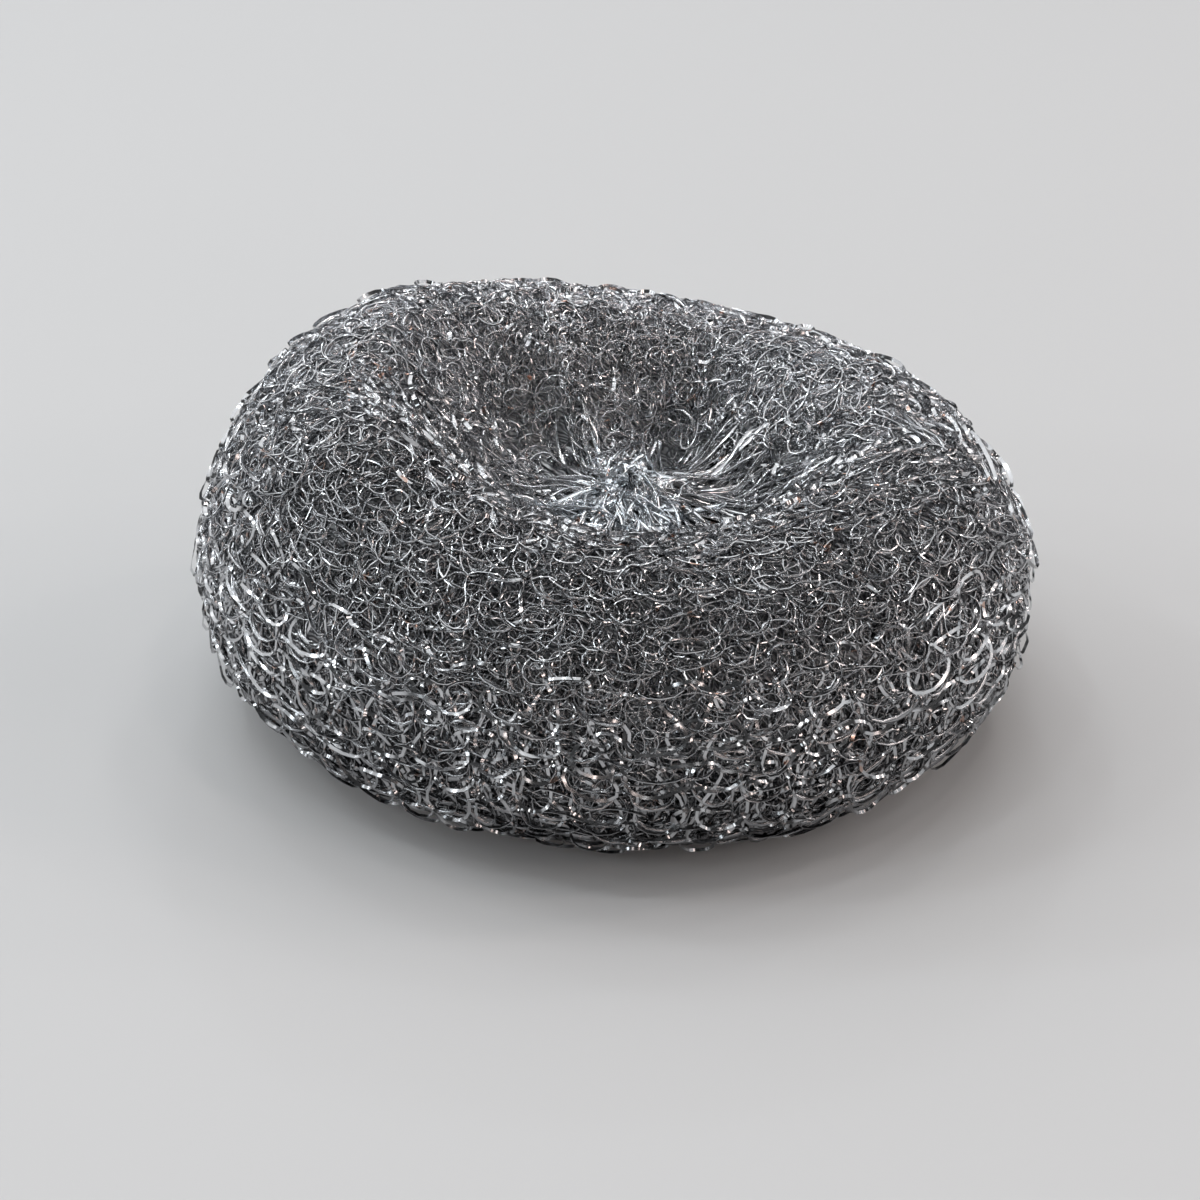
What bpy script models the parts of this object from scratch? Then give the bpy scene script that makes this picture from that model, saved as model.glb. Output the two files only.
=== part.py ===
"""A scouring roll of knitted flat steel wire, made as one solid in metres, with +Z up.

A knitted tube is rolled up on itself and gathered at its middle. It makes a plump ring with a
dimple on top, a shallow navel underneath and a narrow flat to rest on. The knit stands in relief:
its columns of loops (wales) run out of the dimple and over the ring, its rows of loops (courses)
run round it, and every mesh of the net is a pit with a ridge of wire on each of its sides.
"""

import math

import bmesh
import bpy
from mathutils import Vector, noise

# The ring seen from above: an oval, a little three-cornered
WIDTH = 0.0906
DEPTH = 0.0742
OVAL_TURN = math.radians(-6)
CORNER_RISE = 0.0008
CORNER_DIRECTION = math.radians(39)

# The crest of the ring, which stands highest at the back left
CREST_HEIGHT = 0.0367
CREST_TILT = 0.0037
CREST_HIGH_DIRECTION = math.radians(146)
CREST_SAG = 0.0010
CREST_SAG_DIRECTION = math.radians(-16)
CREST_RADIUS = 0.0255
FLANK_HEIGHT = 0.0160

# The dimple on top, with the gathered knot standing in its middle, a little to the right of the ring's axis
DIMPLE_FLOOR = 0.0190
DIMPLE_STEEPNESS = 1.2
KNOT_RISE = 0.0077
KNOT_RADIUS = 0.0081
KNOT_FULLNESS = 3
KNOT_TOP_RADIUS = 0.0022
KNOT_SHIFT = 0.0018

# The flat that it rests on, and the navel inside that
FOOT_OUTER_RADIUS = 0.0225
FOOT_INNER_RADIUS = 0.0150
NAVEL_HEIGHT = 0.0060
NAVEL_TOP_RADIUS = 0.0022

# How full the ring's section is: 2 is an ellipse, more is squarer
SHOULDER_FULLNESS = 1.98
FLANK_FULLNESS = 2.48

# Folds that run out of the dimple: direction, half width, lift, and how far out they peak and end.
# 0 is the knot, 1 the crest and 2 the flank.
FOLDS = (
    (math.radians(28), math.radians(17), 0.0026, 0.55, 0.55),
    (math.radians(64), math.radians(17), -0.0040, 0.52, 0.45),
    (math.radians(112), math.radians(9), 0.0016, 0.55, 0.55),
    (math.radians(137), math.radians(17), -0.0038, 0.58, 0.48),
    (math.radians(178), math.radians(15), -0.0016, 1.15, 0.75),
    (math.radians(204), math.radians(14), 0.0018, 1.05, 0.85),
    (math.radians(352), math.radians(12), -0.0016, 0.55, 0.55),
)

# Small pleats where the gathering pulls the knit together, unevenly spaced
PLEATS = 19
PLEAT_HEIGHT = 0.0005
PLEAT_PEAK = 0.45
PLEAT_LENGTH = 0.35
PLEAT_DRIFT = math.radians(180)
PLEAT_DRIFT_CHANGES = 2

# The lumps of a hand-squeezed roll
LUMP_HEIGHT = 0.0006
LUMP_SIZE = 0.009

# The knit: its wales, its rows of half meshes, and how deep each mesh is
WALES = 62
WALL_ROWS = 10
SHOULDER_ROWS = 11
FLANK_ROWS = 10
FOOT_ROWS = 1
NAVEL_ROWS = 6
PIT_DEPTH = 0.0020
PIT_SHARE_OF_PITCH = 0.8

STEEL_COLOUR = (0.34, 0.345, 0.355, 1.0)
STEEL_ROUGHNESS = 0.32
SHARP_RIDGE = math.radians(20)

COLUMNS = 2 * WALES
FULL_TURN = 2 * math.pi
MEAN_REACH = math.sqrt(WIDTH * DEPTH) / 2


def reach(direction):
    """Distance from the axis to the flank, seen from above."""
    turned = direction - OVAL_TURN
    oval = 1 / math.hypot(math.cos(turned) / (WIDTH / 2), math.sin(turned) / (DEPTH / 2))
    return oval + CORNER_RISE * math.cos(3 * (direction - CORNER_DIRECTION))


def crest_height(direction):
    tilt = CREST_TILT * math.cos(direction - CREST_HIGH_DIRECTION)
    sag = CREST_SAG * math.cos(2 * (direction - CREST_SAG_DIRECTION))
    return CREST_HEIGHT + tilt + sag


def hump(position, peak, length):
    """1 at the peak, falling smoothly to 0 at a length from it."""
    distance = min(abs(position - peak) / length, 1)
    return (1 + math.cos(math.pi * distance)) / 2


def angle_between(a, b):
    return abs((a - b + math.pi) % FULL_TURN - math.pi)


def fold_lift(direction, out):
    """Lift of the big folds and the pleats. out is 0 at the knot, 1 on the crest and 2 at the flank."""
    lift = 0.0
    for fold_direction, half_width, height, peak, length in FOLDS:
        across = angle_between(direction, fold_direction) / half_width
        lift += height * math.exp(-(across**2)) * hump(out, peak, length)
    place = Vector((math.cos(direction), math.sin(direction), 0))
    drift = PLEAT_DRIFT * noise.noise(place * PLEAT_DRIFT_CHANGES)
    pleat = math.cos(PLEATS * direction + drift)
    return lift + PLEAT_HEIGHT * pleat * hump(out, PLEAT_PEAK, PLEAT_LENGTH)


def arc(start, end, fullness, share):
    """A point on a quarter of a squarish ellipse, which leaves start level and reaches end upright."""
    sine = math.sin(share * math.pi / 2) ** (2 / fullness)
    cosine = math.cos(share * math.pi / 2) ** (2 / fullness)
    return start[0] + (end[0] - start[0]) * sine, end[1] + (start[1] - end[1]) * cosine


def wall_point(crest, share):
    """A point on the dimple's wall, from the edge of the knot's top to the crest."""
    radius = KNOT_TOP_RADIUS + (crest[0] - KNOT_TOP_RADIUS) * share
    climb = (1 - math.cos(math.pi * (radius / crest[0]) ** DIMPLE_STEEPNESS)) / 2
    knot = KNOT_RISE * math.exp(-((radius / KNOT_RADIUS) ** KNOT_FULLNESS))
    return radius, DIMPLE_FLOOR + knot + (crest[1] - DIMPLE_FLOOR) * climb


def navel_point(edge, share):
    """A point on the navel's wall, from the flat's inner edge up to the middle."""
    radius = edge + (NAVEL_TOP_RADIUS - edge) * share
    return radius, NAVEL_HEIGHT * (1 - math.cos(math.pi * share)) / 2


def section(direction):
    """The ring's section in one direction, as (radius, height, out), from the knot to the navel."""
    spread = reach(direction) / MEAN_REACH
    crest = (CREST_RADIUS * spread, crest_height(direction))
    flank = (reach(direction), FLANK_HEIGHT)
    foot_outer = (FOOT_OUTER_RADIUS * spread, 0.0)
    foot_inner = (FOOT_INNER_RADIUS * spread, 0.0)
    points = []
    for row in range(WALL_ROWS):
        share = row / WALL_ROWS
        points.append((*wall_point(crest, share), share))
    for row in range(SHOULDER_ROWS):
        share = row / SHOULDER_ROWS
        points.append((*arc(crest, flank, SHOULDER_FULLNESS, share), 1 + share))
    for row in range(FLANK_ROWS):
        share = row / FLANK_ROWS
        points.append((*arc(foot_outer, flank, FLANK_FULLNESS, 1 - share), 2 + share))
    for row in range(FOOT_ROWS):
        share = row / FOOT_ROWS
        radius = foot_outer[0] + (foot_inner[0] - foot_outer[0]) * share
        points.append((radius, 0.0, 3 + share))
    for row in range(NAVEL_ROWS + 1):
        share = row / NAVEL_ROWS
        points.append((*navel_point(foot_inner[0], share), 4 + share))
    return points


def skin_point(direction, radius, height, out):
    """A point of the smooth skin, with its folds and lumps. The flat keeps its height."""
    place = Vector((radius * math.cos(direction), radius * math.sin(direction), height))
    if on_flat(out):
        return place
    place.x += KNOT_SHIFT * hump(out, 0, 1)
    place.z += fold_lift(direction, out)
    outward = Vector((place.x, place.y, place.z - FLANK_HEIGHT)).normalized()
    place += outward * LUMP_HEIGHT * noise.noise(place / LUMP_SIZE)
    place.z = max(place.z, 0.0)
    return place


def on_flat(out):
    return 3 <= out <= 4


def make_skin():
    """The net's points in rings from the knot to the navel, on one closed surface."""
    mesh = bmesh.new()
    outs = [out for _, _, out in section(0.0)]
    rings = [[] for _ in outs]
    for column in range(COLUMNS):
        direction = FULL_TURN * column / COLUMNS
        for ring, (radius, height, out) in zip(rings, section(direction)):
            ring.append(mesh.verts.new(skin_point(direction, radius, height, out)))
    for row in range(len(rings) - 1):
        join_rings(mesh, rings[row], rings[row + 1], row)
    close_ring(mesh, rings[0], facing_up=True)
    close_ring(mesh, rings[-1], facing_up=False)
    return mesh, rings, outs


def join_rings(mesh, upper, lower, row):
    """Two triangles for each pair of points, split so that their shared edge is a ridge of the net."""
    for column in range(COLUMNS):
        after = (column + 1) % COLUMNS
        a, b = upper[column], upper[after]
        c, d = lower[after], lower[column]
        if is_ridge(row, column):
            mesh.faces.new((a, d, c))
            mesh.faces.new((a, c, b))
        else:
            mesh.faces.new((a, d, b))
            mesh.faces.new((b, d, c))


def close_ring(mesh, ring, facing_up):
    middle = mesh.verts.new(sum((point.co for point in ring), Vector()) / len(ring))
    for column in range(COLUMNS):
        a, b = ring[column], ring[(column + 1) % COLUMNS]
        mesh.faces.new((middle, a, b) if facing_up else (middle, b, a))


def is_ridge(row, column):
    return (row + column) % 2 == 0


def sink_pits(mesh, rings, outs):
    """Every second point of the net goes in along its normal, by less where the net is drawn tight."""
    mesh.normal_update()
    for row, (ring, out) in enumerate(zip(rings, outs)):
        if on_flat(out):
            continue
        for column, point in enumerate(ring):
            if is_ridge(row, column):
                continue
            pitch = (ring[(column + 1) % COLUMNS].co - point.co).length
            point.co -= point.normal * min(PIT_DEPTH, PIT_SHARE_OF_PITCH * pitch)
            point.co.z = max(point.co.z, 0.0)


def centre_over_origin(mesh):
    """Moves the middle of the ring's outline over the origin. It already stands on z = 0."""
    for axis in (0, 1):
        places = [point.co[axis] for point in mesh.verts]
        middle = (min(places) + max(places)) / 2
        for point in mesh.verts:
            point.co[axis] -= middle


def steel():
    material = bpy.data.materials.new("flat_steel_wire")
    material.use_nodes = True
    shader = material.node_tree.nodes["Principled BSDF"]
    shader.inputs["Base Color"].default_value = STEEL_COLOUR
    shader.inputs["Metallic"].default_value = 1.0
    shader.inputs["Roughness"].default_value = STEEL_ROUGHNESS
    return material


def make_roll():
    mesh, rings, outs = make_skin()
    sink_pits(mesh, rings, outs)
    centre_over_origin(mesh)
    data = bpy.data.meshes.new("knitted_wire_roll")
    mesh.to_mesh(data)
    mesh.free()
    data.shade_smooth()
    data.set_sharp_from_angle(angle=SHARP_RIDGE)
    data.materials.append(steel())
    roll = bpy.data.objects.new("knitted_wire_roll", data)
    bpy.context.scene.collection.objects.link(roll)
    return roll


def clear_scene():
    for leftover in list(bpy.data.objects):
        bpy.data.objects.remove(leftover)


def main():
    clear_scene()
    make_roll()


main()
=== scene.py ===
import math

import bpy
import numpy as np
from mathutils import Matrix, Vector
from mathutils.bvhtree import BVHTree


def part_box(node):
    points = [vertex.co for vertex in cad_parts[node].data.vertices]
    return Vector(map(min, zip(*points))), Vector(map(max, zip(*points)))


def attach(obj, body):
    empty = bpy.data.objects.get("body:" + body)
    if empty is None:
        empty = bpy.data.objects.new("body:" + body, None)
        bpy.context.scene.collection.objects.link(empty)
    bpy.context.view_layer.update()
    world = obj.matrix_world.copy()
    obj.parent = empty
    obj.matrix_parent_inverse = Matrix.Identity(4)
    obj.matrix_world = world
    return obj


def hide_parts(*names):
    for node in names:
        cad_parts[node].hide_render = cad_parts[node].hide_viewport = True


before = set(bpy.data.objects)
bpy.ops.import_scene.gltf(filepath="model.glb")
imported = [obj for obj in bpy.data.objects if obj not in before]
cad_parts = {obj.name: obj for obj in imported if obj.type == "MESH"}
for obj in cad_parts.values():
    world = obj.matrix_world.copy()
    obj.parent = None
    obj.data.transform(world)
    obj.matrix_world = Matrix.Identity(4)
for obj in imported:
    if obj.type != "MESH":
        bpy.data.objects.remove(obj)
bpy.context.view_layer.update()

NODE = "knitted_wire_roll"
MM = 0.001
TURN = 2 * math.pi

# How the skin is read from the solid: sections round the ring, rays in each, and places kept in each
DIRECTIONS = 496
RAYS = 320
STATIONS = 240

# How many steps each average or search reaches, round the ring and along a section
EVEN_ROUND, EVEN_ALONG = 4, 3
RIDGE_ROUND, RIDGE_ALONG = 4, 5
SMOOTH_ROUND, SMOOTH_ALONG = 6, 6
MESH_SMOOTH_ROUND, MESH_SMOOTH_ALONG = 1.6, 1.6

# The ring's centre line, as shares of its outline and its height, and the knot's axis, where sections meet
CENTRE_LINE_SHARE = 0.56
CENTRE_HEIGHT_SHARE = 0.36
POLE_RADIUS = 0.8 * MM
KNOT_SHIFT = 1.8 * MM

# The knot in the dimple, where the knit is gathered
GATHER_STRETCH = 0.6
GATHER_FADE = 10 * MM
KNOT_RADIUS = 7.2 * MM

# The flat wire
WIRE_WIDTH = 0.42 * MM
WIRE_THICKNESS = 0.1 * MM
FLOOR_CLEARANCE = 0.1 * MM

# How the wires lie on the skin: how far they stand out of it, and how far they follow the solid's meshes in
MOST_PROUD = 0.9 * MM
DEEPEST_MESH = 2.5 * MM
KNIT_SINKS = 0.35
CURLS_SINK = 0.7

# Where the wires lie low, as shares of the skin's length from the dimple to the underside
LOW_FROM, LOW_FULL = 0.38, 0.58

# Groups of loops that are pushed about together
RING_GIRTH = TURN * 38 * MM
LEAST_GROUPS_DOWN = 3
ROUND_SEED_STEP, DOWN_SEED_STEP = 31, 37

# Places where a wire turns its broad face out: steps between them, angles, and the share next to them
TURN_SPACING = 22
FACE_TURNS = (0.4, 1.5)
FACE_TURN_SPREAD = 0.6
FACE_OUT_GAIN = 4


def smooth_along(values, axis, steps, wrap):
    """A running average with a bell-shaped weight, around the ring or from pole to pole."""
    reach = math.ceil(3 * steps)
    offsets = np.arange(-reach, reach + 1)
    weights = np.exp(-0.5 * (offsets / steps) ** 2)
    weights /= weights.sum()
    count = values.shape[axis]
    total = np.zeros_like(values)
    for offset, weight in zip(offsets, weights):
        index = np.arange(count) + offset
        index = index % count if wrap else np.clip(index, 0, count - 1)
        total += weight * np.take(values, index, axis=axis)
    return total


def highest_near(values, axis, steps, wrap):
    """The highest value within a number of steps, around the ring or from pole to pole."""
    count = values.shape[axis]
    best = values
    for offset in range(-steps, steps + 1):
        index = np.arange(count) + offset
        index = index % count if wrap else np.clip(index, 0, count - 1)
        best = np.maximum(best, np.take(values, index, axis=axis))
    return best


def smooth_grid(values, steps_round, steps_along):
    return smooth_along(smooth_along(values, 0, steps_round, True), 1, steps_along, False)


def read_distances(tree, low, high):
    """How far the solid reaches from the ring's centre line, in every direction of every section."""
    middle = (low + high) / 2
    knot = Vector((middle.x + KNOT_SHIFT, middle.y, 0))
    centre_height = low.z + CENTRE_HEIGHT_SHARE * (high.z - low.z)
    above = tree.ray_cast(Vector((knot.x, knot.y, centre_height)), Vector((0, 0, 1)))[0].z
    below = tree.ray_cast(Vector((knot.x, knot.y, centre_height)), Vector((0, 0, -1)))[0].z
    half_width, half_depth = (high.x - low.x) / 2, (high.y - low.y) / 2
    origins = np.zeros((DIRECTIONS, 3))
    rays = np.zeros((DIRECTIONS, RAYS, 3))
    reach = np.zeros((DIRECTIONS, RAYS))
    for i in range(DIRECTIONS):
        turn = TURN * i / DIRECTIONS
        oval = 1 / math.hypot(math.cos(turn) / half_width, math.sin(turn) / half_depth)
        radius = CENTRE_LINE_SHARE * oval
        x, y = middle.x + radius * math.cos(turn), middle.y + radius * math.sin(turn)
        origin = Vector((x, y, centre_height))
        outward = Vector((origin.x - knot.x, origin.y - knot.y, 0))
        from_knot = outward.length
        outward.normalize()
        start = math.atan2(above - centre_height, POLE_RADIUS - from_knot)
        end = math.atan2(below - centre_height, POLE_RADIUS - from_knot)
        origins[i] = origin
        for j in range(RAYS):
            angle = start + (end - start) * j / (RAYS - 1)
            ray = outward * math.cos(angle) + Vector((0, 0, math.sin(angle)))
            rays[i, j] = ray
            reach[i, j] = (tree.ray_cast(origin, ray)[0] - origin).length
    return origins, rays, reach


def read_skin():
    """Places on the roll's smooth outer skin, how deep the knit's meshes go under it, and its length.

    The places are [direction, station, xyz], from the dimple's middle to the underside's, with the meshes
    filled up to their ridges.
    """
    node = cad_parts[NODE]
    tree = BVHTree.FromPolygons([v.co for v in node.data.vertices], [p.vertices for p in node.data.polygons])
    low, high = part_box(NODE)
    origins, rays, reach = read_distances(tree, low, high)
    even = smooth_grid(reach, EVEN_ROUND, EVEN_ALONG)
    ridge = highest_near(highest_near(reach - even, 0, RIDGE_ROUND, True), 1, RIDGE_ALONG, False)
    distance = even + smooth_grid(ridge, SMOOTH_ROUND, SMOOTH_ALONG)
    places = origins[:, None, :] + rays * distance[:, :, None]
    steps = np.linalg.norm(np.diff(places, axis=1), axis=2)
    along = np.concatenate([np.zeros((DIRECTIONS, 1)), np.cumsum(steps, axis=1)], axis=1)
    skin = np.zeros((DIRECTIONS, STATIONS, 3))
    meshes = np.zeros((DIRECTIONS, STATIONS, 1))
    for i in range(DIRECTIONS):
        wanted = np.linspace(0, along[i, -1], STATIONS)
        for axis in range(3):
            skin[i, :, axis] = np.interp(wanted, along[i], places[i, :, axis])
        meshes[i, :, 0] = np.interp(wanted, along[i], np.maximum(distance[i] - reach[i], 0))
    return skin, smooth_grid(meshes, MESH_SMOOTH_ROUND, MESH_SMOOTH_ALONG), along[:, -1].mean()


def unit(vectors):
    return vectors / np.maximum(np.linalg.norm(vectors, axis=-1, keepdims=True), 1e-12)


def dot(a, b):
    return (a * b).sum(-1, keepdims=True)


def skin_directions(skin):
    """Unit vectors out of the skin and round the ring, at every place."""
    around = unit(np.roll(skin, -1, axis=0) - np.roll(skin, 1, axis=0))
    down = np.gradient(skin, axis=1)
    normals = unit(np.cross(down, around))
    near_crest = STATIONS // 3
    if normals[0, near_crest, 2] < 0:
        normals = -normals
    return normals, around


def blend_grid(grid, turn, share):
    """Grid values at any turn round the ring and any share of the way from the dimple to the underside."""
    x = (turn % 1.0) * grid.shape[0]
    y = np.clip(share, 0, 1) * (grid.shape[1] - 1)
    i = np.floor(x).astype(int)
    j = np.minimum(np.floor(y).astype(int), grid.shape[1] - 2)
    fx, fy = (x - i)[..., None], (y - j)[..., None]
    i, after = i % grid.shape[0], (i + 1) % grid.shape[0]
    upper = grid[i, j] * (1 - fx) + grid[after, j] * fx
    lower = grid[i, j + 1] * (1 - fx) + grid[after, j + 1] * fx
    return upper * (1 - fy) + lower * fy


SKIN, MESHES, SKIN_LENGTH = read_skin()
NORMALS, AROUND = skin_directions(SKIN)
GIRTHS = np.linalg.norm(np.roll(SKIN, -1, axis=0) - SKIN, axis=2).sum(0)


def skin_frame(turn, share):
    """The skin's place, and its directions outward, round and down, at any place."""
    place = blend_grid(SKIN, turn, share)
    normal = unit(blend_grid(NORMALS, turn, share))
    around = blend_grid(AROUND, turn, share)
    around = unit(around - dot(around, normal) * normal)
    return place, normal, around, np.cross(around, normal)


def mesh_depth(turn, share):
    """How deep the solid's meshes go under the skin at any place."""
    return np.minimum(blend_grid(MESHES, turn, share), DEEPEST_MESH)[..., 0]


def lowness(share):
    """0 on the crest, rising to 1 low on the flank and below it."""
    return np.clip((share - LOW_FROM) / (LOW_FULL - LOW_FROM), 0, 1)


def soft_noise(seed, turn, share, cells_round, cells_down):
    """Smooth noise between -1 and 1 that closes round the ring."""
    values = np.random.default_rng(seed).uniform(-1, 1, (cells_round, cells_down + 2))
    x, y = (turn % 1.0) * cells_round, np.clip(share, 0, 1) * cells_down
    i, j = np.floor(x).astype(int), np.minimum(np.floor(y).astype(int), cells_down)
    fx, fy = x - i, y - j
    fx, fy = fx * fx * (3 - 2 * fx), fy * fy * (3 - 2 * fy)
    i, after = i % cells_round, (i + 1) % cells_round
    upper = values[i, j] * (1 - fx) + values[after, j] * fx
    lower = values[i, j + 1] * (1 - fx) + values[after, j + 1] * fx
    return upper * (1 - fy) + lower * fy


def wire_noise(rng, rows, count, changes):
    """Random values from -1 to 1 along closed wires, with a number of smooth changes in each."""
    values = rng.uniform(-1, 1, (rows, changes))
    x = np.arange(count) / count * changes
    i = np.floor(x).astype(int)
    share = x - i
    share = share * share * (3 - 2 * share)
    return values[:, i % changes] * (1 - share) + values[:, (i + 1) % changes] * share


def face_turns(rng, rows, count, spacing):
    """Short places where a wire turns its broad face out, as many steps apart as spacing on average."""
    chosen = rng.uniform(0, 1, (rows, count)) < 1 / spacing
    turns = np.where(chosen, rng.uniform(*FACE_TURNS, (rows, count)), 0)
    return turns + FACE_TURN_SPREAD * (np.roll(turns, 1, axis=1) + np.roll(turns, -1, axis=1))


def row_places(first, last, pitch):
    """Where the rows of loops lie, as shares of the skin's length, and how far apart.

    Near the knot the loops are pulled out long.
    """
    places, gaps = [], []
    share = first
    while share < last:
        stretch = 1 + GATHER_STRETCH * math.exp(-share * SKIN_LENGTH / GATHER_FADE)
        gap = pitch * stretch / SKIN_LENGTH
        places.append(share + gap / 2)
        gaps.append(gap)
        share += gap
    return np.array(places), np.array(gaps)


def wander(seed, turn, share, swings):
    """Places pushed about in whole groups. Each swing is a number of groups round the ring and a distance."""
    moved_turn, moved_share = turn, share
    for number, (groups, distance) in enumerate(swings):
        groups_down = max(LEAST_GROUPS_DOWN, int(groups * SKIN_LENGTH / RING_GIRTH))
        push_round = soft_noise(seed * ROUND_SEED_STEP + number, turn, share, groups, groups_down)
        push_down = soft_noise(seed * DOWN_SEED_STEP + number, turn, share, groups, groups_down)
        moved_turn = moved_turn + distance / RING_GIRTH * push_round
        moved_share = moved_share + distance / SKIN_LENGTH * push_down
    return moved_turn, moved_share


def ribbon(points, across, twist, turns=0.0, width=WIRE_WIDTH, closed=True):
    """The corners of flat wire along each row of points, thickest at its outer edge.

    Its width lies along across. twist turns it either way, and turns bring its upper face outwards.
    """
    if closed:
        along = np.roll(points, -1, axis=1) - np.roll(points, 1, axis=1)
    else:
        along = np.gradient(points, axis=1)
    along = unit(along)
    across = unit(across - dot(across, along) * along)
    side = np.cross(along, across)
    twist = twist + turns * np.clip(-FACE_OUT_GAIN * side[..., 2], -1, 1)
    cosine, sine = np.cos(twist)[..., None], np.sin(twist)[..., None]
    across, side = across * cosine + side * sine, side * cosine - across * sine
    outer = points + across * width / 2
    edge = side * WIRE_THICKNESS / 2
    corners = np.stack([outer + edge, outer - edge, points - across * width / 2], axis=2)
    corners[..., 2] = np.maximum(corners[..., 2], FLOOR_CLEARANCE)
    return corners


def strip_faces(rows, count, closed):
    """Quads round and along every strip, and for open ones a triangle on each end."""
    spans = count if closed else count - 1
    row = np.arange(rows)[:, None, None] * count
    here = np.arange(spans)[None, :, None]
    after = (here + 1) % count
    corner = np.arange(3)[None, None, :]
    turned = (corner + 1) % 3
    a, b = (row + here) * 3, (row + after) * 3
    quads = np.stack([a + corner, b + corner, b + turned, a + turned], axis=-1).reshape(-1, 4)
    if closed:
        return quads, np.zeros((0, 3), int)
    start = np.arange(rows)[:, None] * count * 3
    end = start + (count - 1) * 3
    caps = np.concatenate([start + np.array([0, 1, 2]), end + np.array([2, 1, 0])])
    return quads, caps


def wire_part(corners, closed=True):
    rows, count = corners.shape[:2]
    quads, caps = strip_faces(rows, count, closed)
    return corners.reshape(-1, 3), quads, caps


def mark_sharp_edges(data, crisp):
    """The wire's inner edge is sharp, and so are all its long edges where it is crisp."""
    ends = np.zeros(len(data.edges) * 2, np.int32)
    data.edges.foreach_get("vertices", ends)
    kind = ends.reshape(-1, 2) % 3
    flags = (kind[:, 0] == kind[:, 1]) & (crisp | (kind[:, 0] == 2))
    attribute = data.attributes.new("sharp_edge", "BOOLEAN", "EDGE")
    attribute.data.foreach_set("value", flags)


def add_mesh(name, parts, material, crisp=False, faceted=False):
    """One piece from (points, quads, triangles) parts. Where it is faceted, every face is flat."""
    points, quads, caps, base = [], [], [], 0
    for part_points, part_quads, part_caps in parts:
        points.append(part_points)
        quads.append(part_quads + base)
        caps.append(part_caps + base)
        base += len(part_points)
    points, quads, caps = np.concatenate(points), np.concatenate(quads), np.concatenate(caps)
    data = bpy.data.meshes.new(name)
    data.vertices.add(len(points))
    data.vertices.foreach_set("co", points.astype(np.float32).ravel())
    data.loops.add(quads.size + caps.size)
    data.loops.foreach_set("vertex_index", np.concatenate([quads.ravel(), caps.ravel()]).astype(np.int32))
    data.polygons.add(len(quads) + len(caps))
    starts = np.concatenate([np.arange(len(quads)) * 4, quads.size + np.arange(len(caps)) * 3])
    data.polygons.foreach_set("loop_start", starts.astype(np.int32))
    data.update(calc_edges=True)
    if faceted:
        data.shade_flat()
    else:
        data.shade_smooth()
        mark_sharp_edges(data, crisp)
    data.materials.append(material)
    piece = bpy.data.objects.new(name, data)
    bpy.context.scene.collection.objects.link(piece)
    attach(piece, "root")
    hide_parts(NODE)


# Materials. A noise is a scale, in changes to the metre, and a detail.
TONE_NOISE, TONE_STOPS = (420, 3), (0.3, 0.7)
TINT_NOISE, TINT_STOPS = (600, 1), (0.72, 0.75)
ROUGH_NOISE, ROUGH_STOPS = (900, 2), (0.3, 0.7)
# A painted warm fringe of reflections, laid on the wire in rare patches
PAINTED_WARM_FRINGE = (1.0, 0.72, 0.6, 1)
# Painted light toward the back of the roll and painted shade down by the floor: where each begins and ends,
# and how dark the painted shade gets
PAINTED_LIGHT_BACK_ENDS = (-15 * MM, 25 * MM)
PAINTED_SHADE_LOW_ENDS = (4 * MM, 21 * MM)
PAINTED_SHADE_LOW_TONE = 0.5
PACKED_WAVE = {"Scale": 900, "Distortion": 14, "Detail": 1, "Detail Scale": 0.7}
PACKED_STOPS = (0.35, 0.8)
PACKED_ROUGHNESS = 0.45


def node_material(name):
    material = bpy.data.materials.new(name)
    material.use_nodes = True
    tree = material.node_tree
    return material, tree, tree.nodes["Principled BSDF"]


def add_noise(tree, scale, detail):
    place = tree.nodes.new("ShaderNodeTexCoord")
    noise = tree.nodes.new("ShaderNodeTexNoise")
    noise.inputs["Scale"].default_value = scale
    noise.inputs["Detail"].default_value = detail
    tree.links.new(place.outputs["Object"], noise.inputs["Vector"])
    return noise.outputs["Fac"]


def add_ramp(tree, source, positions, colours):
    """Two colours, with a blend between two positions."""
    ramp = tree.nodes.new("ShaderNodeValToRGB")
    for stop, position, colour in zip(ramp.color_ramp.elements, positions, colours):
        stop.position = position
        stop.color = (*colour, 1)
    tree.links.new(source, ramp.inputs["Fac"])
    return ramp.outputs["Color"]


def add_range(tree, source, ends, values):
    """A value that changes evenly from the first to the second while its source goes between two ends."""
    change = tree.nodes.new("ShaderNodeMapRange")
    change.inputs["From Min"].default_value = ends[0]
    change.inputs["From Max"].default_value = ends[1]
    change.inputs["To Min"].default_value = values[0]
    change.inputs["To Max"].default_value = values[1]
    tree.links.new(source, change.inputs["Value"])
    return change.outputs["Result"]


def painted_light_by_place(tree, colour, back):
    """Painted light and shade: the wire's colour is made brighter toward the back of the roll, as painted
    light, and darker down by the floor, as painted shade.
    """
    place = tree.nodes.new("ShaderNodeTexCoord")
    axes = tree.nodes.new("ShaderNodeSeparateXYZ")
    tree.links.new(place.outputs["Object"], axes.inputs["Vector"])
    # Painted light toward the back and painted shade by the floor, as factors on the colour
    painted_back_light = add_range(tree, axes.outputs["Y"], PAINTED_LIGHT_BACK_ENDS, (1, back))
    painted_floor_shade = add_range(tree, axes.outputs["Z"], PAINTED_SHADE_LOW_ENDS, (PAINTED_SHADE_LOW_TONE, 1))
    for factor in (painted_back_light, painted_floor_shade):
        scaled = tree.nodes.new("ShaderNodeVectorMath")
        scaled.operation = "SCALE"
        tree.links.new(colour, scaled.inputs["Vector"])
        tree.links.new(factor, scaled.inputs["Scale"])
        colour = scaled.outputs["Vector"]
    return colour


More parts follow.
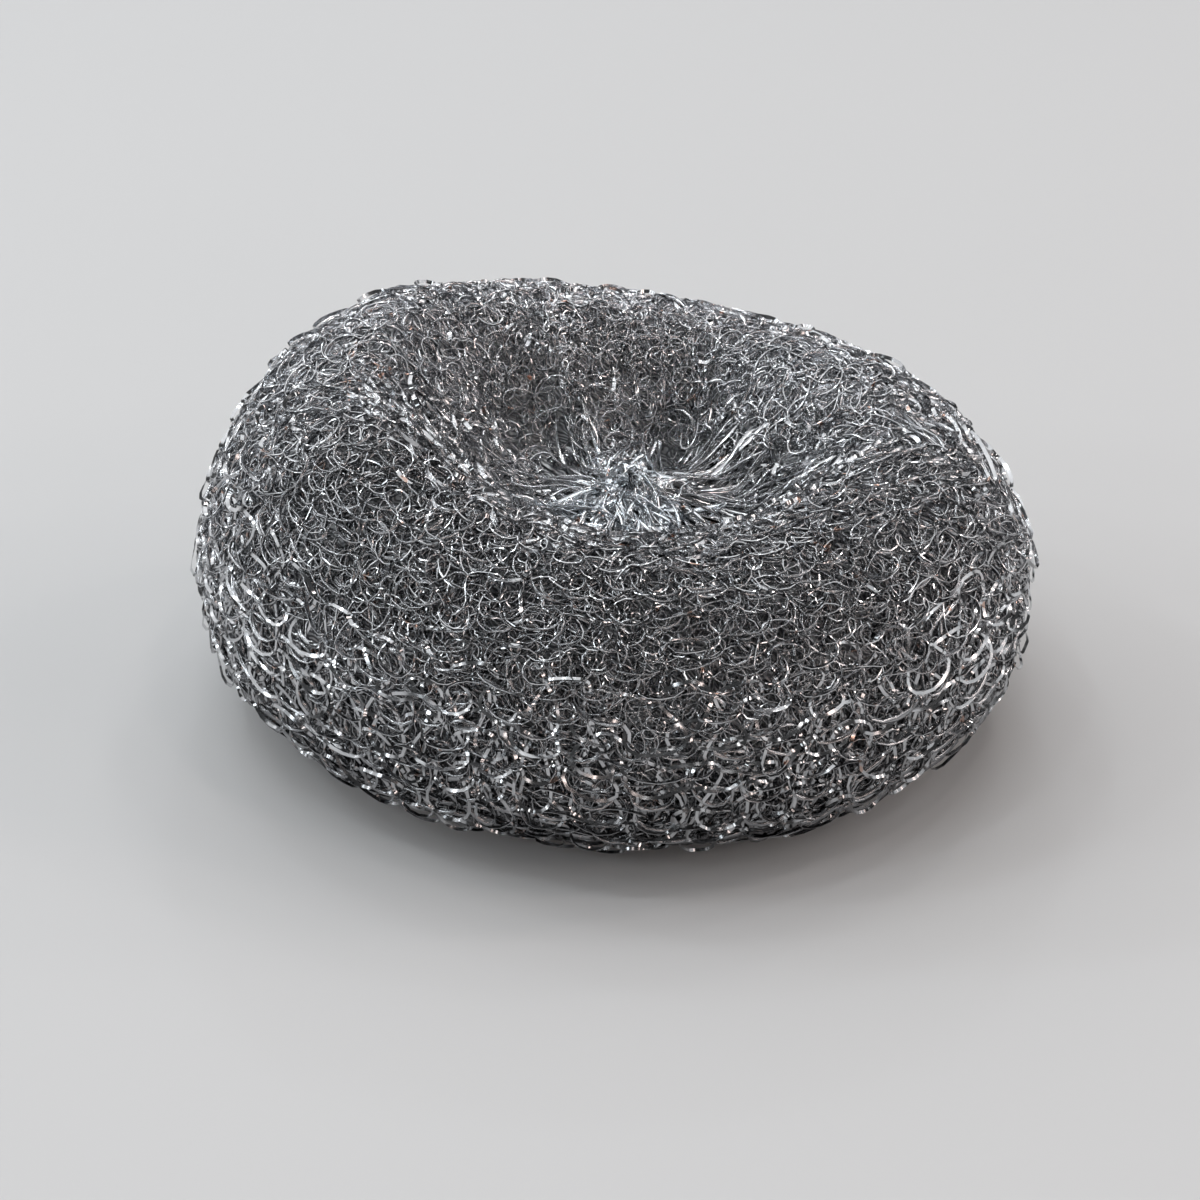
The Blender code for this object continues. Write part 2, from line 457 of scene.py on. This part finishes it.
def steel_material(name, dark, light, roughness, back):
    """Rolled steel wire: tone changes from stretch to stretch, rare warm patches painted in as the warm
    fringe of reflections, and rolling marks, with painted light toward the back and painted shade by the
    floor.
    """
    material, tree, shader = node_material(name)
    tone = add_ramp(tree, add_noise(tree, *TONE_NOISE), TONE_STOPS, (dark, light))
    # Rare patches of the painted warm fringe of reflections
    tint = add_ramp(tree, add_noise(tree, *TINT_NOISE), TINT_STOPS, ((0, 0, 0), (1, 1, 1)))
    mix = tree.nodes.new("ShaderNodeMix")
    mix.data_type = "RGBA"
    mix.blend_type = "MULTIPLY"
    mix.inputs["B"].default_value = PAINTED_WARM_FRINGE
    tree.links.new(tint, mix.inputs["Factor"])
    tree.links.new(painted_light_by_place(tree, tone, back), mix.inputs["A"])
    tree.links.new(mix.outputs["Result"], shader.inputs["Base Color"])
    marks = add_range(tree, add_noise(tree, *ROUGH_NOISE), ROUGH_STOPS, roughness)
    tree.links.new(marks, shader.inputs["Roughness"])
    shader.inputs["Metallic"].default_value = 1.0
    return material


def packed_wire_material(name, dark, light, back):
    """Wire packed close, deep in the roll: swirling light and dark lines, the dark ones painted shade between
    the wires.
    """
    material, tree, shader = node_material(name)
    place = tree.nodes.new("ShaderNodeTexCoord")
    wave = tree.nodes.new("ShaderNodeTexWave")
    wave.bands_direction = "DIAGONAL"
    for socket, value in PACKED_WAVE.items():
        wave.inputs[socket].default_value = value
    tree.links.new(place.outputs["Object"], wave.inputs["Vector"])
    # The dark bands are painted shade between packed wires, the light bands the wire's own tone
    lines = add_ramp(tree, wave.outputs["Fac"], PACKED_STOPS, (dark, light))
    tree.links.new(painted_light_by_place(tree, lines, back), shader.inputs["Base Color"])
    shader.inputs["Roughness"].default_value = PACKED_ROUGHNESS
    shader.inputs["Metallic"].default_value = 1.0
    return material


# One steel in lit and shaded copies: bright_wire is a lighter copy, painted light for the outer wires'
# glints, knot_wire a lighter, cooler copy, painted light on the gathered knot, and middle_wire and deep_wire
# are darker copies, painted shade on the soft-shaded wires and the deepest layer. back is how much lighter
# each is painted toward the back of the roll.
LIT_COPY_STEEL = steel_material("bright_wire", (0.44, 0.45, 0.465), (0.68, 0.685, 0.7), (0.09, 0.2), back=1.15)
SHADED_COPY_STEEL = steel_material("middle_wire", (0.32, 0.325, 0.335), (0.48, 0.485, 0.5), (0.14, 0.28), back=1.7)
DEEPER_SHADED_STEEL = steel_material("deep_wire", (0.31, 0.315, 0.325), (0.43, 0.435, 0.45), (0.2, 0.36), back=2.0)
KNOT_LIT_STEEL = steel_material("knot_wire", (0.52, 0.55, 0.58), (0.78, 0.81, 0.84), (0.12, 0.26), back=1.0)
PACKED_WIRE_AND_PAINTED_SHADE = packed_wire_material("packed_wire", (0.16, 0.165, 0.175), (0.6, 0.61, 0.62), back=1.6)

# The knit: rows of loops round the ring, each hung in the row above, from the first to the last share of the
# skin's length. Heights and waves are shares of the gap between rows, swings and drifts of a loop's width.
KNIT_FIRST, KNIT_LAST = 0.17, 0.80
LOOP_HEIGHT, LOOP_HEIGHT_RANGE = 0.95, 0.25
LOOPS_HANG = 0.5
LOOP_SWING, LOOP_SWING_RANGE = 0.27, 0.06
LOOP_DRIFT = 0.2
ROW_WAVE = 0.2
KNIT_SWINGS = ((60, 0.7 * MM), (26, 1.2 * MM))

# The loops' arcs stand out of the skin and their legs lie deeper
LOOP_RISE = 0.9 * MM
MEAN_RISE, LEG_FALL, FOOT_FALL = 0.5, 0.45, 0.25
KNIT_LIFT = 0.4 * MM
KNIT_DEPTH = 0.6 * MM

# How the knit's wire twists and lies down, in radians, with its changes in each loop, and how much rarer or
# closer its turns are low on the roll
KNIT_TWIST = 0.45
FLUTTER, FLUTTER_CHANGES = 0.08, 5
LIE_DOWN, LIE_DOWN_GAIN = 0.3, 3
LOW_TURNS_LESS = 0.5
LOW_TURNS_CLOSER = 0.6

# Low rows in which the wire lies like the slats of a blind
SLATS_FROM, SLATS_TO = 0.43, 0.7
SLAT_WIDTH = 0.34 * MM
SLAT_RISE = math.radians(48)
SLAT_RISE_RANGE = math.radians(30)
SLAT_SWING = math.radians(40)
SLAT_TWIST = 0.4


def across_slats(rng, points, normal, changes):
    """Across the wire where it lies like the slats of a blind, with its broad face outward and up."""
    rows, count = points.shape[:2]
    along = unit(np.roll(points, -1, axis=1) - np.roll(points, 1, axis=1))
    swing = SLAT_SWING * wire_noise(rng, rows, count, changes)
    heading = np.arctan2(normal[..., 1], normal[..., 0]) + swing
    rise = SLAT_RISE + SLAT_RISE_RANGE * wire_noise(rng, rows, count, changes)
    face = np.stack([np.cos(rise) * np.cos(heading), np.cos(rise) * np.sin(heading), np.sin(rise)], axis=-1)
    return np.cross(along, face)


def knit_rows(seed, wales, steps, first, last, pitch, depth, lean, flutter, has_slats):
    """The corners of the wire through rows of knitted loops, each loop of a number of steps.

    lean moves every row on by that share of a loop.
    """
    rng = np.random.default_rng(seed)
    places, gaps = row_places(first, last, pitch)
    rows, count = len(places), wales * steps
    t = np.broadcast_to(np.arange(count) / steps * TURN, (rows, count))
    gap = gaps[:, None]
    row = np.arange(rows)[:, None]
    bulge = LOOP_SWING + LOOP_SWING_RANGE * wire_noise(rng, rows, count, wales)
    hang = LOOPS_HANG * lowness(places[:, None])
    height = gap * (LOOP_HEIGHT + hang + LOOP_HEIGHT_RANGE * wire_noise(rng, rows, count, wales))
    drift = LOOP_DRIFT * wire_noise(rng, rows, count, wales)
    wave = ROW_WAVE * wire_noise(rng, rows, count, wales)
    turn = (t / TURN + bulge * np.sin(2 * t) + drift + lean * row) / wales
    share = places[:, None] - height * np.cos(t) + gap * wave
    lift = KNIT_LIFT * wire_noise(rng, rows, count, 2 * wales)
    rise = LOOP_RISE * (MEAN_RISE + LEG_FALL * np.cos(2 * t) - FOOT_FALL * np.cos(t))
    inward = np.maximum(depth + KNIT_DEPTH - rise + lift, -MOST_PROUD)
    turn, share = wander(seed, turn, share, KNIT_SWINGS)
    place, normal, _, _ = skin_frame(turn, share)
    points = place - normal * (inward + KNIT_SINKS * mesh_depth(turn, share))[..., None]
    low = lowness(share)
    lie = np.clip(wire_noise(rng, rows, count, 2 * wales) * LIE_DOWN_GAIN - 1.0, 0, 1)
    twist = KNIT_TWIST * wire_noise(rng, rows, count, wales)
    twist = twist + flutter * wire_noise(rng, rows, count, FLUTTER_CHANGES * wales)
    spacing = TURN_SPACING * (1 - LOW_TURNS_CLOSER * low)
    turns = LIE_DOWN * lie + face_turns(rng, rows, count, spacing) * (1 - LOW_TURNS_LESS * low)
    slats = ((places > SLATS_FROM) & (places < SLATS_TO) & has_slats)[:, None]
    across = np.where(slats[..., None], across_slats(rng, points, normal, 2 * wales), normal)
    twist, turns = np.where(slats, SLAT_TWIST * twist, twist), np.where(slats, 0, turns)
    width = np.where(slats, SLAT_WIDTH, WIRE_WIDTH)
    return ribbon(points, across, twist, turns, width[..., None])


def make_knit(name, material, seed, wales, steps, pitch, depth, first=KNIT_FIRST, last=KNIT_LAST, lean=0.0,
              flutter=FLUTTER, has_slats=False, crisp=False):
    corners = knit_rows(seed, wales, steps, first, last, pitch, depth, lean, flutter, has_slats)
    add_mesh(name, [wire_part(corners)], material, crisp)


# Curled wire between the rows: it goes round the ring in small coils that lean every way, from the first to
# the last share of the skin's length. Its drift is a share of one coil and its wave of the gap between rows.
CURLS_FIRST, CURLS_LAST = 0.05, 0.86
LEAST_CURLS = 5
CURL_DRIFT = 0.5
CURL_ROW_WAVE = 0.6
CURL_SWINGS = ((40, 0.9 * MM),)
CURL_TILT = 0.55
CURL_SIZE_RANGE = 0.35
CURL_PHASE_RANGE = 0.5
CURL_LIFT = 0.5 * MM
LOW_CURLS_DEEPER = 0.8 * MM
CURL_TWIST = 0.35
CURL_FLUTTER, CURL_FLUTTER_CHANGES = 0.08, 4


def curled_wire(rng, seed, share, pitch, radius, advance, steps, depth):
    """The corners of one wire that goes once round the ring in coils."""
    girth = np.interp(share, np.linspace(0, 1, STATIONS), GIRTHS)
    curls = max(LEAST_CURLS, int(round(girth / advance)))
    count = curls * steps
    t = (np.arange(count) / steps * TURN)[None, :]
    turn = t / (TURN * curls) + rng.uniform()
    turn = turn + CURL_DRIFT / curls * wire_noise(rng, 1, count, curls)
    down_skin = share + CURL_ROW_WAVE * pitch / SKIN_LENGTH * wire_noise(rng, 1, count, curls)
    turn, down_skin = wander(seed, turn, down_skin, CURL_SWINGS)
    place, normal, around, down = skin_frame(turn, down_skin)
    low = lowness(down_skin)[..., None]
    lean_round = CURL_TILT * (1 + low) * wire_noise(rng, 1, count, curls)[..., None]
    lean_down = CURL_TILT * (1 + low) * wire_noise(rng, 1, count, curls)[..., None]
    axis = unit(normal + lean_round * around + lean_down * down)
    u = unit(around - dot(around, axis) * axis)
    v = np.cross(axis, u)
    size = radius * (1 + CURL_SIZE_RANGE * wire_noise(rng, 1, count, curls))[..., None]
    phase = (t + CURL_PHASE_RANGE * wire_noise(rng, 1, count, curls))[..., None]
    reach = size * np.sqrt(np.maximum(1 - dot(axis, normal) ** 2, 0))
    lift = CURL_LIFT * wire_noise(rng, 1, count, curls)[..., None]
    lift = lift + CURLS_SINK * mesh_depth(turn, down_skin)[..., None]
    centre = place - normal * (depth + reach + lift + LOW_CURLS_DEEPER * low)
    points = centre + size * (np.cos(phase) * u + np.sin(phase) * v)
    twist = CURL_TWIST * wire_noise(rng, 1, count, curls)
    twist = twist + CURL_FLUTTER * wire_noise(rng, 1, count, CURL_FLUTTER_CHANGES * curls)
    return ribbon(points, axis, twist, face_turns(rng, 1, count, TURN_SPACING))


def make_curls(name, material, seed, pitch, radius, advance, steps, depth, crisp=False):
    """Coils of a radius, with an advance from coil to coil and a number of steps in each."""
    rng = np.random.default_rng(seed)
    parts = []
    share = CURLS_FIRST
    while share < CURLS_LAST:
        parts.append(wire_part(curled_wire(rng, seed, share, pitch, radius, advance, steps, depth)))
        share += pitch / SKIN_LENGTH
    add_mesh(name, parts, material, crisp)


# The mass of wire deep under the loops, a dark sheet whose darkness is partly painted shade between packed
# wires: its grid, how far it lies straight below the knot as a share of the knot's radius, and its bumps,
# each with a seed, a height in millimetres, and how many go round and down
CORE_COLUMNS, CORE_ROWS = 128, 90
CORE_KNOT_SHARE = 1.2
CORE_BUMPS = ((5, 0.5, 90, 60), (6, 0.3, 40, 30))


def make_core(name, material, depth):
    turns, shares = np.arange(CORE_COLUMNS) / CORE_COLUMNS, np.linspace(0, 1, CORE_ROWS)
    turn, share = np.meshgrid(turns, shares, indexing="ij")
    bumps = sum(height * soft_noise(seed, turn, share, *cells) for seed, height, *cells in CORE_BUMPS)
    place, normal, _, _ = skin_frame(turn, share)
    near_knot = np.clip(2 - share * SKIN_LENGTH / KNOT_RADIUS / CORE_KNOT_SHARE, 0, 1)[..., None]
    inward = unit(normal * (1 - near_knot) + np.array([0, 0, 1]) * near_knot)
    points = place - inward * (depth + bumps * MM)[..., None]
    points[..., 2] = np.maximum(points[..., 2], FLOOR_CLEARANCE)
    i, j = np.meshgrid(np.arange(CORE_COLUMNS), np.arange(CORE_ROWS - 1), indexing="ij")
    here, after = i * CORE_ROWS + j, (i + 1) % CORE_COLUMNS * CORE_ROWS + j
    quads = np.stack([here, here + 1, after + 1, after], -1).reshape(-1, 4)
    top, bottom = points[:, 0].mean(0), points[:, -1].mean(0)
    everything = np.concatenate([points.reshape(-1, 3), [top], [bottom]])
    top_number = np.full(CORE_COLUMNS, CORE_COLUMNS * CORE_ROWS)
    first = np.arange(CORE_COLUMNS) * CORE_ROWS
    first_after = np.roll(first, -1)
    last, last_after = first + CORE_ROWS - 1, first_after + CORE_ROWS - 1
    top_caps = np.stack([top_number, first, first_after], -1)
    bottom_caps = np.stack([top_number + 1, last_after, last], -1)
    caps = np.concatenate([top_caps, bottom_caps])
    add_mesh(name, [(everything, quads, caps)], material, faceted=True)


# Small closed loops where the knit is gathered. Their lengths, widths and depths are in millimetres.
KNOT_CROWDING = 0.65
KNOT_HEADINGS = 0.9
KNOT_LENGTHS, KNOT_LENGTHENING = (1.2, 3.2), 0.1
KNOT_WIDTHS = (0.5, 1.2)
KNOT_WOBBLE, WOBBLE_PHASE = 0.5, 6
KNOT_DEPTHS, KNOT_WEAVE = (0.0, 2.2), 0.7
KNOT_TWIST, KNOT_TWIST_SWING = 1.5, 0.8


def knot_places(x, y, depth):
    """Places near the knot by x and y from its axis, at a depth under the skin, with the skin's normals."""
    base = SKIN[:, 0].mean(0)
    share = np.hypot(x, y) / SKIN_LENGTH
    turn = np.arctan2(y, x) / TURN
    place, normal, _, _ = skin_frame(turn, share)
    points = place - normal * depth[..., None]
    points[..., 0], points[..., 1] = base[0] + x, base[1] + y
    return points, normal


def make_knot(name, material, seed, loops, steps):
    """Small closed loops of wire, curled over each other where the knit is gathered."""
    rng = np.random.default_rng(seed)
    t = np.arange(steps) / steps * TURN
    radius = KNOT_RADIUS * (rng.uniform(0, 1, loops) ** KNOT_CROWDING)[:, None]
    turn = rng.uniform(0, TURN, loops)[:, None]
    heading = turn + rng.uniform(-KNOT_HEADINGS, KNOT_HEADINGS, loops)[:, None]
    length = rng.uniform(*KNOT_LENGTHS, loops)[:, None] * (MM + KNOT_LENGTHENING * radius)
    width = rng.uniform(*KNOT_WIDTHS, loops)[:, None] * MM
    wobble = rng.uniform(-KNOT_WOBBLE, KNOT_WOBBLE, (loops, 4))
    u = length * (np.cos(t) + wobble[:, :1] * np.cos(2 * t))
    v = width * (np.sin(t) + wobble[:, 1:2] * np.sin(2 * t + 1))
    x = radius * np.cos(turn) + u * np.cos(heading) - v * np.sin(heading)
    y = radius * np.sin(turn) + u * np.sin(heading) + v * np.cos(heading)
    weave = KNOT_WEAVE * np.cos(2 * t + wobble[:, 2:3] * WOBBLE_PHASE)
    depth = (rng.uniform(*KNOT_DEPTHS, loops)[:, None] + weave) * MM
    points, normals = knot_places(x, y, depth)
    twist_swing = KNOT_TWIST_SWING * np.sin(t + wobble[:, 3:] * WOBBLE_PHASE)
    twist = rng.uniform(-KNOT_TWIST, KNOT_TWIST, loops)[:, None] + twist_swing
    add_mesh(name, [wire_part(ribbon(points, normals, twist))], material)


# Wires drawn straight out of the knot, some of them over the fold on the right. The fold's place and its
# spread are shares of a full turn, and the starts, lengths and depths are in millimetres.
ON_FOLD_SHARE = 0.4
FOLD_TURN, FOLD_SPREAD = 0.07, 0.04
STRAND_STARTS = (1.5, 9)
STRAND_LENGTHS = (5, 13)
STRAND_BOW, STRAND_WAVE = 0.8, 0.6
STRAND_SWING = 1.3 * MM
STEADY_RADIUS = 2 * MM
STRAND_DEPTHS, STRAND_ENDS_DEEPER = (-0.5, 0.9), 1.8
STRAND_TWIST, STRAND_TWIST_CHANGE = 1.5, 1.2


def make_strands(name, material, seed, strands, steps):
    """Wires drawn straight out of the knot and up the dimple's walls."""
    rng = np.random.default_rng(seed)
    t = np.linspace(0, 1, steps)[None, :]
    turn = rng.uniform(0, 1, strands)
    on_fold = rng.uniform(0, 1, strands) < ON_FOLD_SHARE
    turn = np.where(on_fold, rng.normal(FOLD_TURN, FOLD_SPREAD, strands), turn)[:, None]
    start = rng.uniform(*STRAND_STARTS, strands)[:, None] * MM
    length = rng.uniform(*STRAND_LENGTHS, strands)[:, None] * MM
    bend = rng.uniform(-1, 1, (strands, 3))
    share = (start + length * t) / SKIN_LENGTH
    bow = bend[:, :1] * STRAND_BOW * np.sin(TURN / 2 * t)
    wave = bend[:, 1:2] * STRAND_WAVE * np.sin(TURN * t)
    swing = bow + wave + bend[:, 2:] * t
    turn = turn + swing * STRAND_SWING / (TURN * (share * SKIN_LENGTH + STEADY_RADIUS))
    ends_deeper = STRAND_ENDS_DEEPER * (np.abs(2 * t - 1) ** 3)
    depth = (rng.uniform(*STRAND_DEPTHS, strands)[:, None] + ends_deeper) * MM
    place, normal, _, _ = skin_frame(turn, share)
    points = place - normal * depth[..., None]
    twist = rng.uniform(-STRAND_TWIST, STRAND_TWIST, strands)[:, None]
    twist = twist + rng.uniform(-STRAND_TWIST_CHANGE, STRAND_TWIST_CHANGE, strands)[:, None] * t
    corners = ribbon(points, normal, twist, closed=False)
    add_mesh(name, [wire_part(corners, closed=False)], material)


# The pieces: the knit, the coils between its rows, the knit underneath, the knot and the core
make_knit("knit_outer", LIT_COPY_STEEL, seed=11, wales=42, steps=22, pitch=3.1 * MM, depth=0.0, flutter=0.3,
          has_slats=True, crisp=True)
make_knit("knit_inner", SHADED_COPY_STEEL, seed=12, wales=44, steps=20, pitch=3.0 * MM, depth=0.4 * MM, lean=0.2)
make_curls("curls_outer", SHADED_COPY_STEEL, seed=13, pitch=2.5 * MM, radius=1.5 * MM, advance=2.3 * MM, steps=11,
           depth=-0.1 * MM)
make_curls("curls_second", SHADED_COPY_STEEL, seed=14, pitch=2.5 * MM, radius=1.25 * MM, advance=2.3 * MM, steps=10,
           depth=0.2 * MM)
make_curls("curls_fine", LIT_COPY_STEEL, seed=18, pitch=3.2 * MM, radius=0.85 * MM, advance=2.0 * MM, steps=8,
           depth=0.0, crisp=True)
make_curls("curls_third", DEEPER_SHADED_STEEL, seed=15, pitch=2.6 * MM, radius=1.4 * MM, advance=2.4 * MM, steps=10,
           depth=0.8 * MM)
make_knit("knit_under", SHADED_COPY_STEEL, seed=17, wales=40, steps=14, pitch=2.4 * MM, depth=-0.2 * MM, first=0.78,
          last=0.985)
make_knot("gathered_knot", KNOT_LIT_STEEL, seed=21, loops=190, steps=22)
make_strands("gather_strands", LIT_COPY_STEEL, seed=22, strands=230, steps=14)
make_core("inner_mass", PACKED_WIRE_AND_PAINTED_SHADE, depth=2.6 * MM)

# The floor
FLOOR_HALF = 3.0
FLOOR_NOISE, FLOOR_STOPS = (2.0, 2), (0.0, 1.0)
FLOOR_COLOURS = ((0.655, 0.657, 0.66), (0.67, 0.67, 0.67))
FLOOR_ROUGHNESS = 0.9


def make_floor():
    material, tree, shader = node_material("pale_floor")
    tone = add_ramp(tree, add_noise(tree, *FLOOR_NOISE), FLOOR_STOPS, FLOOR_COLOURS)
    tree.links.new(tone, shader.inputs["Base Color"])
    shader.inputs["Roughness"].default_value = FLOOR_ROUGHNESS
    data = bpy.data.meshes.new("floor")
    half = FLOOR_HALF
    corners = [(-half, -half, 0), (half, -half, 0), (half, half, 0), (-half, half, 0)]
    data.from_pydata(corners, [], [(0, 1, 2, 3)])
    data.materials.append(material)
    floor = bpy.data.objects.new("floor", data)
    bpy.context.scene.collection.objects.link(floor)


# The camera: the frame is 1200 pixels square and 130 mm wide at the distance of the roll
PHOTO_PIXELS = 1200
CAMERA_ELEVATION = math.radians(31)
CAMERA_DISTANCE = 0.300
FRAME_WIDTH = 0.130
SENSOR_WIDTH = 36
CLIP_START = 0.01
AIM = Vector((0.0006, 0.0009, 0.018))
AIM_RIGHT_PIXELS = 18.7
AIM_UP_PIXELS = 46.0


def aim(thing, target):
    thing.rotation_euler = (Vector(target) - thing.location).to_track_quat("-Z", "Y").to_euler()


def make_camera():
    data = bpy.data.cameras.new("camera")
    data.sensor_width = SENSOR_WIDTH
    data.lens = SENSOR_WIDTH * CAMERA_DISTANCE / FRAME_WIDTH
    data.shift_x = -AIM_RIGHT_PIXELS / PHOTO_PIXELS
    data.shift_y = -AIM_UP_PIXELS / PHOTO_PIXELS
    data.clip_start = CLIP_START
    camera = bpy.data.objects.new("camera", data)
    bpy.context.scene.collection.objects.link(camera)
    back = Vector((0, -math.cos(CAMERA_ELEVATION), math.sin(CAMERA_ELEVATION)))
    camera.location = AIM + back * CAMERA_DISTANCE
    aim(camera, AIM)
    bpy.context.scene.camera = camera


# The world's even light, and the point that every lamp looks at
WORLD_COLOUR = (0.97, 0.985, 1, 1)
WORLD_STRENGTH = 0.06
LAMPS_AIM = (0, 0, 0.02)

# Small lamps all round: heading and height in degrees, width and height in metres, power in watts, colour.
# A heading of 0 is the roll's right, 90 its far side and 270 its front.
LAMP_DISTANCE = 0.8
COOL = (0.9, 0.96, 1.0)
WARM = (1.0, 0.9, 0.86)
ROSE = (1.0, 0.82, 0.75)
PLAIN = (1.0, 0.98, 0.97)
DAYLIGHT = (0.98, 0.99, 1.0)
LAMPS = (
    (90, 75, 0.05, 0.05, 0.12, PLAIN),
    (60, 58, 0.05, 0.05, 0.16, PLAIN),
    (120, 58, 0.05, 0.05, 0.16, COOL),
    (90, 42, 0.05, 0.05, 0.16, COOL),
    (150, 66, 0.05, 0.05, 0.16, COOL),
    (30, 66, 0.05, 0.05, 0.16, PLAIN),
    (185, 50, 0.05, 0.05, 0.2, COOL),
    (160, 40, 0.05, 0.05, 0.2, COOL),
    (205, 70, 0.05, 0.05, 0.2, COOL),
    (330, 72, 0.05, 0.05, 0.2, WARM),
    (10, 45, 0.05, 0.05, 0.2, WARM),
    (270, 80, 0.06, 0.06, 0.05, COOL),
    (240, 62, 0.07, 0.06, 0.05, COOL),
    (300, 58, 0.07, 0.06, 0.05, PLAIN),
    (195, 22, 0.1, 0.07, 0.2, COOL),
    (175, 12, 0.1, 0.07, 0.2, COOL),
    (188, 36, 0.1, 0.07, 0.2, COOL),
    (170, 28, 0.1, 0.07, 0.2, COOL),
    (215, 34, 0.09, 0.07, 0.14, COOL),
    (345, 22, 0.1, 0.07, 0.18, ROSE),
    (5, 14, 0.1, 0.07, 0.2, WARM),
    (352, 36, 0.1, 0.07, 0.18, ROSE),
    (12, 30, 0.1, 0.07, 0.18, ROSE),
    (325, 34, 0.09, 0.07, 0.12, ROSE),
    (285, 30, 0.09, 0.06, 0.08, PLAIN),
    (255, 42, 0.09, 0.06, 0.07, COOL),
    (262, 7, 0.13, 0.08, 0.16, ROSE),
    (279, 13, 0.13, 0.08, 0.14, ROSE),
    (247, 18, 0.12, 0.08, 0.12, WARM),
    (294, 22, 0.12, 0.08, 0.11, ROSE),
    (268, 52, 0.08, 0.06, 0.06, PLAIN),
    (225, 12, 0.12, 0.08, 0.2, COOL),
    (315, 12, 0.12, 0.08, 0.18, ROSE),
)

# Wide dim panels: name, place, width, height and power
PANELS = (
    ("ceiling", (-0.25, 0.5, 0.95), 1.6, 1.6, 6.8),
    ("front_top", (-0.1, -0.3, 1.1), 0.34, 0.34, 0.36),
    ("left_wall", (-1.4, 0.1, 0.7), 2.4, 1.3, 5.8),
    ("right_wall", (1.4, 0.1, 0.7), 2.4, 1.3, 6.2),
)


def add_lamp(name, place, width, height, power, colour):
    data = bpy.data.lights.new(name, "AREA")
    data.shape = "ELLIPSE"
    data.size = width
    data.size_y = height
    data.energy = power
    data.color = colour
    lamp = bpy.data.objects.new(name, data)
    lamp.location = place
    aim(lamp, LAMPS_AIM)
    bpy.context.scene.collection.objects.link(lamp)


def make_lights():
    world = bpy.data.worlds.new("studio")
    world.use_nodes = True
    bpy.context.scene.world = world
    background = world.node_tree.nodes["Background"]
    background.inputs["Color"].default_value = WORLD_COLOUR
    background.inputs["Strength"].default_value = WORLD_STRENGTH
    for name, place, width, height, power in PANELS:
        add_lamp(name, place, width, height, power, DAYLIGHT)
    for number, (heading, elevation, width, height, power, colour) in enumerate(LAMPS):
        heading, elevation = math.radians(heading), math.radians(elevation)
        level = Vector((math.cos(heading), math.sin(heading), 0)) * math.cos(elevation)
        place = (level + Vector((0, 0, math.sin(elevation)))) * LAMP_DISTANCE
        add_lamp(f"lamp_{number}", place, width, height, power, colour)


make_floor()
make_camera()
make_lights()
bpy.context.scene.view_settings.view_transform = "Standard"
